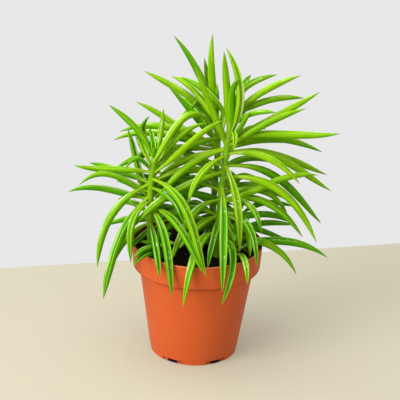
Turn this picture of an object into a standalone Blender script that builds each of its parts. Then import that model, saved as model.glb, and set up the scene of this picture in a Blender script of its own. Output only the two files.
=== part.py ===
"""Potted peperomia: a plastic nursery pot of potting mix with leafy stems of narrow, folded leaves.

Values are in millimetres and the meshes in metres. +Z is up, +X right and +Y back as seen from the front,
and the origin is on the ground under the middle of the pot.
"""
import math
import random
from collections import namedtuple

import bmesh
import bpy
import numpy as np
from mathutils import Matrix, Vector

MM = 0.001
UP = np.array((0.0, 0.0, 1.0))
GAP = 0.35

# Pot, by its outer side
POT_HEIGHT = 94.6
RIM_RADIUS = 52.5
RIM_BAND = 19.8
BAND_FOOT_RADIUS = 51.4
BODY_RADIUS = 46.45
BASE_RADIUS = 36.0
WALL = 1.4
LIP = 0.45
FOOT_STEP = 3.6
FOOT_INSET = 0.35
FLOOR = 2.4
CHANNEL_INNER = 26.0
CHANNEL_OUTER = 33.4
CHANNEL_DEPTH = 1.1
POT_STEPS = 40

# Drainage: a notch through the foot and a hole through the floor behind it
DRAINS = 6
FIRST_DRAIN = 242.0
NOTCH_WIDTH = 8.0
NOTCH_HEIGHT = 2.0
HOLE_WIDTH = 6.0
HOLE_INNER = 27.0

# Potting mix
SOIL_TOP = POT_HEIGHT - 10.0
SOIL_CROWN = 1.6
SOIL_STEPS = 32

# Leaves
LONG_STATIONS = (0.0, 0.12, 0.28, 0.49, 0.7, 0.89)
SHORT_STATIONS = (0.0, 0.14, 0.38, 0.64, 0.88)
SHORT_LEAF = 46.0
LEAF_DEPTH = 0.78
LIP_RISE = 0.45
GROOVE_DEPTH = 0.16
LEAST_BREADTH = 3.4
BREADTH_PER_LENGTH = 0.04

# Room between the leaves
CLEARANCE = 0.8
LIP_REACH = 1.12
CONTACT_U = np.linspace(0.06, 1, 20)
PASSES = 90

STEM_SIDES = 6
STEM_POINTS = 9
STEM_TAPER = 0.2
STEM_HOLE_SIDES = 12
STEM_HOLE_DEPTH = 30.0

# What is drawn at random on the unseen side
DRAW_SEED = 7
DRAW_TURN = 9
DRAW_HEIGHT = 1.5
DRAW_LENGTH = (0.88, 1.1)
DRAW_BOW = (0.1, 0.24)
SAG = 0.22

LEAF_GREEN = (0.19, 0.42, 0.03)
YOUNG_GREEN = (0.3, 0.52, 0.06)
TERRACOTTA = (0.62, 0.14, 0.05)
MIX_BROWN = (0.03, 0.02, 0.014)

Stem = namedtuple("Stem", "name radius bend seen unseen colour")

# A stem's bend is the four points of its curve, from 12 mm down in the mix to its tip.
# Each leaf on its seen side is the height of its node, how far the leaf's tip lies to the right of the
# node, behind it and above it, how far the midline bows to its upper side near the stem and near the tip,
# and, for a few, how far it bows to the leaf's right.
# Each whorl on its unseen side is the height of its node, its first and last heading in degrees from the
# right round by the back, how many leaves it has, their lift in degrees and their length.
STEMS = (
    Stem(
        "leafy_stem_left",
        2.9,
        ((-36, -18, 72.5), (-37, -18, 105), (-40.5, -18, 140), (-35.5, -17, 171)),
        (
            (158, -60, -5, 5, 2, -4),
            (142, -55, -10, 7, 3, 25),
            (136, -64, -2, 4, 1, 12),
            (149, -40, -14, -67, 21, 15),
            (139, -34, -24, -80, 18, 8),
            (134, -13, -20, -44, 27, 10),
            (159, -21, -13, 4, 6, 20),
            (132, -20, 20, 55, -8, -1),
            (167, -36, 7, 42, 9, 6),
            (168, -4, 5, 34, -4, -24),
            (168, -5, 15, 21, 8, 8),
            (168, 6, 3, 41, -2, -2),
            (167, 41, 35, 43, 0, 1),
            (163, 40, 9, 34, 3, 11),
            (157, 53, -13, 50, -3, 6),
            (153, 45, -43, -63, 33, 7),
            (146, 27, -26, -21, 6, 16),
            (130, 42, -39, -37, 19, 8),
            (130, 21, -39, -58, 24, 8),
            (117, 10, -36, -31, 7, 3),
            (116, -36, 12, -71, -2, 7),
        ),
        (
            (161, 30, 110, 2, 35, 66),
            (150, 20, 130, 3, 20, 68),
            (138, 25, 100, 2, 5, 66),
            (122, 10, 120, 3, 0, 55),
        ),
        LEAF_GREEN,
    ),
    Stem(
        "leafy_stem_right",
        3.0,
        ((16, -8, 72.5), (15.5, -8, 118), (18, -8, 165), (23, -8, 206)),
        (
            (164, 15, -26, -63, 14, 7, -1),
            (145, 3, -53, -66, 24, 11),
            (171, -28, -26, -33, 11, 13),
            (158, -70, -26, -40, 8, 12),
            (176, -52, -16, -38, 11, 10),
            (178, -55, 6, -37, 2, 12),
            (134, -38, -32, -42, 25, 8),
            (176, -27, -6, 67, 1, 0),
            (185, -6, 8, 69, 18, 18, 2),
            (184, -6, -4, 71, 5, 2),
            (188, 9, -11, 51, -2, 19),
            (200, 34, 16, 33, 19, 12),
            (204, 51, 6, 32, 5, 5),
            (201, 56, 16, 14, 9, 8),
            (192, 34, -18, 21, 9, 7),
            (183, 69, 8, 40, -2, -1),
            (178, 58, -14, 38, 1, 4),
            (182, 16, -9, 29, -3, 0),
            (185, 84, -16, 13, 7, -3),
            (182, 75, 14, -10, 11, 9),
            (184, 4, -20, -2, 16, 8, -3),
            (172, 85, 10, -31, 22, 6),
            (173, 82, 22, -23, 13, 5),
            (172, 57, -22, -14, 14, 13),
            (162, 80, 12, -50, 26, 9),
            (132, 75, -6, 28, -3, 12),
            (153, 75, -18, -45, 28, 20),
            (140, 54, 2, -21, 14, 21),
            (134, 66, -6, -27, 22, 16),
            (115, 63, 22, -10, 7, 15),
            (131, 33, -20, -17, 21, 18),
            (121, 25, -15, -32, 24, 14),
            (123, 30, -34, -31, 26, 22),
            (124, -8, -42, -31, -6, 10),
            (100, 4, -52, -33, 34, 20, -12),
            (105, -25, -56, -42, 34, 22, -2),
            (94, 89, 2, -8, 2, 17),
            (99, 64, -10, -23, 16, 22),
            (106, 56, 18, -11, 14, 2),
        ),
        (
            (196, 60, 150, 2, 50, 60),
            (183, 60, 140, 2, 30, 72),
            (163, 70, 150, 2, 15, 74),
            (142, 60, 170, 3, 5, 68),
            (120, 165, 235, 2, 0, 50),
        ),
        LEAF_GREEN,
    ),
    Stem(
        "leafy_stem_middle",
        2.8,
        ((9, 16, 72.5), (10, 14, 110), (15, 12, 150), (12, 12, 186)),
        (
            (181, -4, -2, 43, -5, -2),
            (181, -7, -2, 82, -3, -6),
            (178, -13, 7, 63, 3, -2),
            (177, -37, -2, 83, 11, 10),
            (183, -59, 6, 46, 15, 6),
            (175, -41, -14, 48, -4, 1),
            (173, -66, 12, 28, -10, 1),
            (171, -79, 12, 5, 10, 16),
            (170, -82, 2, -1, 8, 17),
            (168, -82, -16, -20, 13, 21),
            (182, -50, -39, -14, 50, 14),
        ),
        (
            (165, 20, 130, 3, 25, 74),
            (150, 40, 200, 4, 10, 74),
            (134, 10, 190, 4, 5, 68),
            (118, 60, 210, 4, 5, 64),
            (102, 70, 240, 3, 10, 50),
            (97, 215, 320, 3, 8, 38),
        ),
        LEAF_GREEN,
    ),
    Stem(
        "shoot_back",
        2.2,
        ((-12, 28, 72.5), (-12, 29, 90), (-13, 30, 105), (-13, 31, 122)),
        (),
        ((120, 0, 240, 3, 60, 34), (110, 40, 310, 4, 30, 48), (98, 0, 270, 4, 12, 48)),
        LEAF_GREEN,
    ),
    Stem(
        "shoot_back_right",
        2.2,
        ((32, 18, 72.5), (32, 19, 90), (33, 20, 105), (34, 21, 120)),
        (),
        ((118, 0, 240, 3, 60, 32), (108, 0, 200, 4, 25, 50), (96, 20, 190, 3, 10, 48)),
        LEAF_GREEN,
    ),
    Stem(
        "shoot_back_left",
        2.2,
        ((-30, 16, 72.5), (-31, 17, 92), (-33, 18, 108), (-34, 19, 126)),
        (),
        ((124, 0, 240, 3, 55, 36), (114, 60, 230, 3, 25, 50), (100, 30, 250, 4, 8, 48)),
        LEAF_GREEN,
    ),
    Stem(
        "shoot_front_left",
        1.8,
        ((-29, -24, 72.5), (-29, -24, 84), (-29, -24, 92), (-28, -24, 99)),
        ((96, -20, -26, 3, 2, 7), (92, -20, -28, 1, 4, 6)),
        ((96, 200, 330, 3, 45, 22),),
        YOUNG_GREEN,
    ),
    Stem(
        "shoot_front_right",
        1.8,
        ((30, -20, 72.5), (30, -20, 85), (30, -20, 95), (30, -20, 104)),
        ((93, 8, -38, -10, 3, 6),),
        ((103, 40, 260, 3, 62, 24), (96, 0, 150, 3, 35, 30)),
        YOUNG_GREEN,
    ),
)


def clear_scene():
    for obj in list(bpy.data.objects):
        bpy.data.objects.remove(obj, do_unlink=True)


def make_collection(name):
    collection = bpy.data.collections.new(name)
    bpy.context.scene.collection.children.link(collection)
    return collection


def make_material(name, colour, roughness):
    material = bpy.data.materials.new(name)
    material.use_nodes = True
    surface = material.node_tree.nodes["Principled BSDF"]
    surface.inputs["Base Color"].default_value = (*colour, 1)
    surface.inputs["Roughness"].default_value = roughness
    surface.inputs["Metallic"].default_value = 0
    return material


def make_object(name, mesh, collection):
    obj = bpy.data.objects.new(name, mesh)
    collection.objects.link(obj)
    return obj


def shade(obj, degrees):
    obj.data.shade_smooth()
    obj.data.set_sharp_from_angle(angle=math.radians(degrees))


# Growth


def unit(vector):
    return vector / np.linalg.norm(vector)


def weights(u):
    """A cubic curve's share of each of its four points at u."""
    u = np.asarray(u, float)[..., None]
    return np.concatenate(((1 - u) ** 3, 3 * u * (1 - u) ** 2, 3 * u * u * (1 - u), u ** 3), -1)


def point_at(bend, height):
    """Where a stem's curve passes this height."""
    line = weights(np.linspace(0, 1, 60)) @ bend
    return np.array([np.interp(height, line[:, 2], line[:, axis]) for axis in range(3)])


def ease(low, high, value):
    t = np.clip((value - low) / (high - low), 0, 1)
    return t * t * (3 - 2 * t)


def swell(u):
    """A leaf's breadth along its length, as a share of its greatest: narrow at the stalk and at the tip."""
    stalk = 0.36 + 0.64 * ease(0.02, 0.36, u)
    past = np.clip((np.asarray(u) - 0.5) / 0.5, 0, 1)
    return stalk * (1 - past ** 2.3) ** 0.85


class Leaf:
    """A leaf's midline, as the four points of a cubic curve, with its breadth."""

    def __init__(self, stem, foot, reach, bows, seen):
        reach = np.array(reach, float)
        heading = unit(reach * (1, 1, 0) + (1e-6, 0, 0))
        bow_in, bow_out, bow_right = bows
        self.stem = stem
        self.ease = 0.2 if seen else 1.0
        self.side = np.cross(heading, UP)
        over = np.cross(self.side, unit(reach))
        sideways = self.side * bow_right
        self.bend = np.array((
            foot,
            foot + reach / 3 + over * bow_in + sideways,
            foot + reach * 2 / 3 + over * bow_out + sideways,
            foot + reach,
        ))
        self.breadth = LEAST_BREADTH + BREADTH_PER_LENGTH * np.linalg.norm(reach)

    def shift(self, u, step):
        """Moves the midline at u by step, by all its points but the first."""
        share = weights(u)[1:]
        self.bend[1:] += np.outer(share / (share @ share), step)


def sprout(index, stem, draws):
    """A stem's leaves: those of its seen side, then the whorls of its unseen side."""
    bend = np.array(stem.bend, float)
    leaves = []
    for height, right, back, up, bow_in, bow_out, *bow_right in stem.seen:
        bows = (bow_in, bow_out, sum(bow_right))
        leaves.append(Leaf(index, point_at(bend, height), (right, back, up), bows, True))
    for height, first, last, count, lift, length in stem.unseen:
        for step in range(count):
            turn = first + (last - first) * step / (count - 1) + draws.uniform(-DRAW_TURN, DRAW_TURN)
            heading = math.radians(turn)
            rise = math.radians(lift + draws.uniform(-DRAW_TURN, DRAW_TURN))
            size = length * draws.uniform(*DRAW_LENGTH)
            bow = size * draws.uniform(*DRAW_BOW)
            flat = size * math.cos(rise)
            sunk = size * math.sin(rise) - SAG * flat
            reach = (flat * math.cos(heading), flat * math.sin(heading), sunk)
            foot = point_at(bend, height + draws.uniform(-DRAW_HEIGHT, DRAW_HEIGHT))
            leaves.append(Leaf(index, foot, reach, (bow, bow * 0.8, 0), False))
    return leaves


def wall_radius(z):
    """The middle of the pot's wall at this height."""
    band_foot = POT_HEIGHT - RIM_BAND
    if z > band_foot:
        outside = np.interp(z, (band_foot, POT_HEIGHT), (BAND_FOOT_RADIUS, RIM_RADIUS))
    else:
        outside = np.interp(z, (0, band_foot), (BASE_RADIUS, BODY_RADIUS))
    return outside - WALL / 2


def part_pair(leaf, other, lines, room):
    """Bends two leaves apart where their midlines come closest, each the more the further out it is met."""
    apart = lines[0][:, None] - lines[1][None]
    distance = np.linalg.norm(apart, axis=2)
    short = room - distance
    here, there = np.unravel_index(short.argmax(), short.shape)
    if short[here, there] <= 0:
        return
    push = apart[here, there] / distance[here, there] * short[here, there]
    ease_here = leaf.ease * CONTACT_U[here] ** 2
    ease_there = other.ease * CONTACT_U[there] ** 2
    share = ease_here / (ease_here + ease_there)
    leaf.shift(CONTACT_U[here], push * share)
    other.shift(CONTACT_U[there], push * (share - 1))


def keep_off_stem(leaf, line, stem_line, room):
    """Bends a leaf clear of another stem."""
    apart = line[:, None] - stem_line[None]
    distance = np.linalg.norm(apart, axis=2)
    short = room[:, None] - distance
    here, there = np.unravel_index(short.argmax(), short.shape)
    if short[here, there] > 0:
        leaf.shift(CONTACT_U[here], apart[here, there] / distance[here, there] * short[here, there])


def keep_off_pot(leaf, line, halves):
    """Lifts a leaf off the mix and over the rim, and holds what hangs outside clear of the wall."""
    radii = np.hypot(line[:, 0], line[:, 1])
    outside = radii > RIM_RADIUS - WALL / 2
    for u, (x, y, z), radius, out, half in zip(CONTACT_U, line, radii, outside, halves):
        outward = np.array((x, y, 0)) / radius
        need = half + WALL / 2 + CLEARANCE
        if not out:
            lowest = SOIL_TOP + SOIL_CROWN + half + CLEARANCE
            if z < lowest:
                leaf.shift(u, UP * (lowest - z))
            over_band = radius - wall_radius(POT_HEIGHT) + need
            if over_band > 0 and z < POT_HEIGHT and not outside.any():
                leaf.shift(u, -outward * over_band)
        elif z < POT_HEIGHT:
            short = max(wall_radius(z), BAND_FOOT_RADIUS - WALL / 2) + need - radius
            if short > 0:
                leaf.shift(u, outward * short)
    if outside.any() and not outside[0]:
        past = int(outside.argmax())
        share = (RIM_RADIUS - WALL / 2 - radii[past - 1]) / (radii[past] - radii[past - 1])
        drop = line[past - 1][2] - line[past][2]
        steep = math.hypot(1, drop / (radii[past] - radii[past - 1]))
        height = line[past - 1][2] - share * drop
        short = POT_HEIGHT + LIP_REACH * halves[past] * min(steep, 2) + CLEARANCE - height
        if short > 0:
            leaf.shift(CONTACT_U[past - 1] + share * (CONTACT_U[past] - CONTACT_U[past - 1]), UP * short)


def settle(leaves):
    """Bends the leaves clear of each other, of the other stems and of the pot."""
    stem_lines = [weights(np.linspace(0, 1, 24)) @ np.array(stem.bend, float) for stem in STEMS]
    halves = [0.5 * leaf.breadth * swell(CONTACT_U) for leaf in leaves]
    near_stem = (CONTACT_U < 0.3)[:, None] & (CONTACT_U < 0.3)[None]
    for _ in range(PASSES):
        lines = [weights(CONTACT_U) @ leaf.bend for leaf in leaves]
        low = np.array([line.min(0) for line in lines]) - 4
        high = np.array([line.max(0) for line in lines]) + 4
        for i, leaf in enumerate(leaves):
            meets = ((low[i] < high[i + 1:]) & (low[i + 1:] < high[i])).all(1)
            for j in np.flatnonzero(meets) + i + 1:
                room = halves[i][:, None] + halves[j][None]
                if leaf.stem == leaves[j].stem:
                    room = np.where(near_stem, 0, room - CLEARANCE)
                else:
                    room = room * LIP_REACH + CLEARANCE
                part_pair(leaf, leaves[j], (lines[i], lines[j]), room)
            for k, stem in enumerate(STEMS):
                if k != leaf.stem:
                    keep_off_stem(leaf, lines[i], stem_lines[k], halves[i] + stem.radius + CLEARANCE)
            keep_off_pot(leaf, lines[i], halves[i])
    for leaf, half in zip(leaves, halves):
        keep_off_pot(leaf, weights(CONTACT_U) @ leaf.bend, half)


def grow():
    draws = random.Random(DRAW_SEED)
    leaves = []
    for index, stem in enumerate(STEMS):
        leaves += sprout(index, stem, draws)
    settle(leaves)
    return leaves


# Pieces


def turned(name, profile, steps, collection):
    """A turned solid from (radius, height) points that start and end on the axis and run down the outside."""
    mesh = bpy.data.meshes.new(name)
    points = [(radius * MM, 0, height * MM) for radius, height in profile]
    mesh.from_pydata(points, [(i, i + 1) for i in range(len(points) - 1)], [])
    obj = make_object(name, mesh, collection)
    screw = obj.modifiers.new("turn", "SCREW")
    screw.steps = steps
    screw.render_steps = steps
    screw.use_merge_vertices = True
    screw.merge_threshold = 0.00005
    screw.use_smooth_shade = True
    return obj


def pot_inside():
    """The (radius, height) points of the pot's inner side, from the floor's middle up to the lip."""
    band_foot = POT_HEIGHT - RIM_BAND
    return [
        (0, FLOOR),
        (BASE_RADIUS - WALL - 1.2, FLOOR),
        (BASE_RADIUS - WALL, FLOOR + 1.2),
        (BODY_RADIUS - WALL, band_foot + WALL - 0.8),
        (BODY_RADIUS - WALL + 0.8, band_foot + WALL),
        (BAND_FOOT_RADIUS - WALL, band_foot + WALL),
        (RIM_RADIUS - WALL, POT_HEIGHT - LIP),
    ]


def make_pot(collection, cutters):
    band_foot = POT_HEIGHT - RIM_BAND
    foot_radius = BASE_RADIUS - FOOT_INSET
    profile = pot_inside() + [
        (RIM_RADIUS - WALL + LIP, POT_HEIGHT),
        (RIM_RADIUS - LIP, POT_HEIGHT),
        (RIM_RADIUS, POT_HEIGHT - LIP),
        (BAND_FOOT_RADIUS, band_foot + LIP),
        (BAND_FOOT_RADIUS - LIP, band_foot),
        (BODY_RADIUS, band_foot),
        (BASE_RADIUS + FOOT_INSET, FOOT_STEP),
        (foot_radius, FOOT_STEP - FOOT_INSET),
        (foot_radius, LIP),
        (foot_radius - LIP, 0),
        (CHANNEL_OUTER, 0),
        (CHANNEL_OUTER, CHANNEL_DEPTH),
        (CHANNEL_INNER, CHANNEL_DEPTH),
        (CHANNEL_INNER, 0),
        (0, 0),
    ]
    pot = turned("pot", profile, POT_STEPS, collection)
    for number in range(DRAINS):
        turn = Matrix.Rotation(math.radians(FIRST_DRAIN + number * 360 / DRAINS), 4, "Z")
        notch = (CHANNEL_OUTER - 2, BASE_RADIUS + 4, NOTCH_WIDTH, -2, NOTCH_HEIGHT)
        hole = (HOLE_INNER, CHANNEL_OUTER - 1, HOLE_WIDTH, -2, FLOOR + 2)
        for kind, (inner, outer, width, low, high) in (("notch", notch), ("hole", hole)):
            mesh = bpy.data.meshes.new(kind)
            box = bmesh.new()
            size = Matrix.Diagonal(((outer - inner) * MM, width * MM, (high - low) * MM, 1))
            middle = Vector(((inner + outer) / 2 * MM, 0, (low + high) / 2 * MM))
            bmesh.ops.create_cube(box, size=1, matrix=turn @ Matrix.Translation(middle) @ size)
            box.to_mesh(mesh)
            box.free()
            cut(pot, make_object(f"{kind}_{number}", mesh, cutters))
    pot.data.materials.append(make_material("terracotta_plastic", TERRACOTTA, 0.5))
    return pot


def cut(obj, cutter):
    cutter.hide_render = True
    cutter.display_type = "WIRE"
    modifier = obj.modifiers.new(cutter.name, "BOOLEAN")
    modifier.operation = "DIFFERENCE"
    modifier.object = cutter


def make_soil(collection, cutters):
    """The potting mix, crowned a little, with a plain hole for each stem."""
    inside = pot_inside()
    floor, wall_foot, ledge_low, ledge_in, ledge_out = inside[1:6]
    top_radius = wall_radius(SOIL_TOP) - WALL / 2 - GAP
    profile = [
        (0, SOIL_TOP + SOIL_CROWN),
        (18, SOIL_TOP + SOIL_CROWN * 0.8),
        (36, SOIL_TOP + SOIL_CROWN * 0.3),
        (top_radius - 1, SOIL_TOP),
        (top_radius, SOIL_TOP - 1),
        (ledge_out[0] - GAP, ledge_out[1] + GAP),
        (ledge_in[0] - GAP, ledge_in[1] + GAP),
        (ledge_low[0] - GAP, ledge_low[1]),
        (wall_foot[0] - GAP, wall_foot[1]),
        (floor[0] - GAP, floor[1] + GAP),
        (0, FLOOR + GAP),
    ]
    soil = turned("potting_mix", profile, SOIL_STEPS, collection)
    for stem in STEMS:
        foot = Vector(stem.bend[0])
        lean = (Vector(point_at(np.array(stem.bend, float), SOIL_TOP + 4)) - foot).normalized()
        turn = Vector(UP).rotation_difference(lean).to_matrix().to_4x4()
        middle = foot + lean * (STEM_HOLE_DEPTH / 2 - GAP)
        mesh = bpy.data.meshes.new("hole")
        drill = bmesh.new()
        bmesh.ops.create_cone(
            drill,
            cap_ends=True,
            segments=STEM_HOLE_SIDES,
            radius1=(stem.radius + 2 * GAP) * MM,
            radius2=(stem.radius + 2 * GAP) * MM,
            depth=STEM_HOLE_DEPTH * MM,
            matrix=Matrix.Translation(middle * MM) @ turn,
        )
        drill.to_mesh(mesh)
        drill.free()
        cut(soil, make_object(f"hole_{stem.name}", mesh, cutters))
    soil.data.materials.append(make_material("potting_mix", MIX_BROWN, 0.95))
    return soil


def make_stalk(stem, collection):
    """The stem itself: a tube along its curve, thinner to its tip, as a mesh."""
    curve = bpy.data.curves.new(stem.name, "CURVE")
    curve.dimensions = "3D"
    curve.bevel_depth = stem.radius * MM
    curve.bevel_resolution = (STEM_SIDES - 4) // 2
    curve.use_fill_caps = True
    spline = curve.splines.new("POLY")
    spline.points.add(STEM_POINTS - 1)
    for point, u in zip(spline.points, np.linspace(0, 1, STEM_POINTS)):
        point.co = (*(weights(u) @ np.array(stem.bend, float) * MM), 1)
        point.radius = 1 - STEM_TAPER * u
    tube = make_object(stem.name + "_tube", curve, collection)
    bpy.context.view_layer.update()
    mesh = bpy.data.meshes.new_from_object(tube.evaluated_get(bpy.context.evaluated_depsgraph_get()))
    bpy.data.objects.remove(tube, do_unlink=True)
    bpy.data.curves.remove(curve)
    welded = bmesh.new()
    welded.from_mesh(mesh)
    bmesh.ops.remove_doubles(welded, verts=welded.verts, dist=1e-6)
    bmesh.ops.recalc_face_normals(welded, faces=welded.faces)
    welded.to_mesh(mesh)
    welded.free()
    return make_object(stem.name, mesh, collection)


def leaf_frame(leaf, u):
    """The midline's point at u, the way across the leaf and the way to its upper side."""
    slope = np.array((-3 * (1 - u) ** 2, 3 * (1 - u) * (1 - 3 * u), 3 * u * (2 - 3 * u), 3 * u * u))
    along = unit(slope @ leaf.bend)
    over = unit(np.cross(leaf.side, along))
    return weights(u) @ leaf.bend, np.cross(along, over), over


def leaf_mesh(leaf):
    """One folded leaf: two lips with a groove between them, and a keel underneath."""
    mesh = bpy.data.meshes.new("leaf")
    body = bmesh.new()
    rings = []
    length = np.linalg.norm(leaf.bend[3] - leaf.bend[0])
    for u in SHORT_STATIONS if length < SHORT_LEAF else LONG_STATIONS:
        middle, across, over = leaf_frame(leaf, u)
        breadth = leaf.breadth * float(swell(u))
        keel = LEAF_DEPTH * breadth
        corners = (
            middle - across * breadth / 2 + over * keel * LIP_RISE,
            middle - over * keel * (1 - LIP_RISE),
            middle + across * breadth / 2 + over * keel * LIP_RISE,
            middle + over * (keel * LIP_RISE - GROOVE_DEPTH * breadth),
        )
        rings.append([body.verts.new(Vector(corner * MM)) for corner in corners])
    tip = body.verts.new(Vector(leaf.bend[3] * MM))
    body.faces.new(rings[0])
    for near, far in zip(rings, rings[1:]):
        for a in range(4):
            b = (a + 1) % 4
            body.faces.new((near[b], near[a], far[a], far[b]))
    for a in range(4):
        body.faces.new((rings[-1][(a + 1) % 4], rings[-1][a], tip))
    bmesh.ops.recalc_face_normals(body, faces=body.faces)
    bmesh.ops.triangulate(body, faces=body.faces)
    body.to_mesh(mesh)
    body.free()
    return mesh


def make_leafy_stem(index, stem, leaves, collection):
    """A stem and its leaves, grown together as one solid."""
    obj = make_stalk(stem, collection)
    grown = make_collection(stem.name + "_leaves")
    for leaf in leaves:
        if leaf.stem == index:
            make_object(f"{stem.name}_leaf", leaf_mesh(leaf), grown)
    union = obj.modifiers.new("leaves", "BOOLEAN")
    union.operation = "UNION"
    union.operand_type = "COLLECTION"
    union.collection = grown
    bpy.context.view_layer.update()
    joined = bpy.data.meshes.new_from_object(obj.evaluated_get(bpy.context.evaluated_depsgraph_get()))
    obj.modifiers.clear()
    obj.data = joined
    for part in list(grown.objects):
        bpy.data.objects.remove(part, do_unlink=True)
    bpy.data.collections.remove(grown)
    obj.data.materials.clear()
    obj.data.materials.append(make_material(stem.name, stem.colour, 0.35))
    shade(obj, 50)
    return obj


def main():
    clear_scene()
    collection = make_collection("potted_peperomia")
    cutters = make_collection("cutters")
    leaves = grow()
    make_pot(collection, cutters)
    make_soil(collection, cutters)
    for index, stem in enumerate(STEMS):
        make_leafy_stem(index, stem, leaves, collection)


main()
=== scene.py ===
"""Potted peperomia: the finely modelled pot, mix and leafy stems with their finishes, and the stage.

The settings and the meshes are in metres. The growth tables and the named sizes are in millimetres, with
+Z up, +X right and +Y back as seen from the front, and the origin on the ground under the middle of the pot.
"""
import math
import random
from collections import namedtuple

import bmesh
import bpy
import numpy as np
from bpy.props import FloatProperty, FloatVectorProperty, IntProperty, PointerProperty
from mathutils import Matrix, Quaternion, Vector, noise


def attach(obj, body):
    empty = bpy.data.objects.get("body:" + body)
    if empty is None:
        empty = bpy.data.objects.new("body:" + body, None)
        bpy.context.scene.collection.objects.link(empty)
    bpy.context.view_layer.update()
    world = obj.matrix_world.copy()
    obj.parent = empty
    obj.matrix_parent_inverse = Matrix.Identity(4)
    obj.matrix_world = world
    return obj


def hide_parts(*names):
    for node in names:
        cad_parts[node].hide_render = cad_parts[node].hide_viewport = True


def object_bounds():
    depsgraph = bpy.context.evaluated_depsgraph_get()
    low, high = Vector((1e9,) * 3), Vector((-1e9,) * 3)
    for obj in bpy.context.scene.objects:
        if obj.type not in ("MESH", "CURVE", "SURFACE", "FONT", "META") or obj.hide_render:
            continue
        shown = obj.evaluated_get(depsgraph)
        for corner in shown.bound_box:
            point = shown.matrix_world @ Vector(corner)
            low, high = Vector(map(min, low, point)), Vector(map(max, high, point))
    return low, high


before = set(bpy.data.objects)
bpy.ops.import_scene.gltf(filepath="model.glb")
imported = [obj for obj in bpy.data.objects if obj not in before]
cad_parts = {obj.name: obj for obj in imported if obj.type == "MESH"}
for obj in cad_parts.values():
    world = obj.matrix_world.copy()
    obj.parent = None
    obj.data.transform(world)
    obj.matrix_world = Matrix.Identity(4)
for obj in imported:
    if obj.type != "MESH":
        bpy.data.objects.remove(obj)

bl_info = {
    "name": "Potted peperomia",
    "version": (1, 0, 0),
    "blender": (4, 5, 0),
    "location": "View3D > Sidebar > Peperomia",
    "description": "Makes a narrow-leaved peperomia in its nursery pot, piece by piece",
    "category": "Add Mesh",
}

MM = 0.001
UP = np.array((0.0, 0.0, 1.0))
BODY = "root"
CAD_BOX = [list(corner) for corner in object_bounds()]

# How near, in metres, two places count as one
NEAR = 2e-6

# Up to how many degrees between faces each surface is shaded smooth
POT_SMOOTH = 40
SOIL_SMOOTH = 60
LEAF_SMOOTH = 70
TABLE_SMOOTH = 40

# Pot, by its outer side
POT_HEIGHT = 94.6
RIM_RADIUS = 52.5
RIM_BAND = 19.8
BAND_FOOT_RADIUS = 51.4
BODY_RADIUS = 46.45
BASE_RADIUS = 36.0
WALL = 1.4
FOOT_STEP = 3.6
FOOT_INSET = 0.2
FLOOR = 2.4
CHANNEL_INNER = 26.0
CHANNEL_OUTER = 33.4
CHANNEL_DEPTH = 1.1
CREASE_ABOVE = 1.2
CREASE_BELOW = 3.8
FOOT_ROUNDING = 0.3
LEDGE_ROUNDING = 0.8
FLOOR_ROUNDING = 1.2
AXIS_RADIUS = 3.0

# Drainage: a shallow recess in the foot, a notch through it and a hole through the floor behind it
DRAINS = 6
FIRST_DRAIN = 242.0
RECESS = (17.0, 3.0, 1.1)
NOTCH_WIDTH = 9.0
NOTCH_HEIGHT = 2.3
HOLE_WIDTH = 6.0
HOLE_INNER = 27.0
CUT_BEVEL = 0.3

# Potting mix, which dips a little by the wall
SOIL_TOP = POT_HEIGHT - 10.0
SOIL_CROWN = 1.6
SOIL_GAP = 0.35
SOIL_RINGS = 40
EDGE_DIP = 0.6
EDGE_BREADTH = 1.5

# Leaves
LEAST_BREADTH = 3.4
BREADTH_PER_LENGTH = 0.04

# Room between the leaves
CLEARANCE = 0.8
LIP_REACH = 1.12
CONTACT_U = np.linspace(0.06, 1, 20)
PASSES = 90

# The seed of all the draws, and how far the unseen leaves vary by them: in turn and lift, in degrees, in
# the height of their nodes, in length and in bow
DRAW_SEED = 7
DRAW_TURN = 9
DRAW_HEIGHT = 1.5
DRAW_LENGTH = (0.88, 1.1)
DRAW_BOW = (0.1, 0.24)

# How far an unseen leaf sags for each millimetre out, and how much narrower a stem is at its tip
SAG = 0.22
STEM_TAPER = 0.2

Stem = namedtuple("Stem", "name radius bend seen unseen slot")

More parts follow.
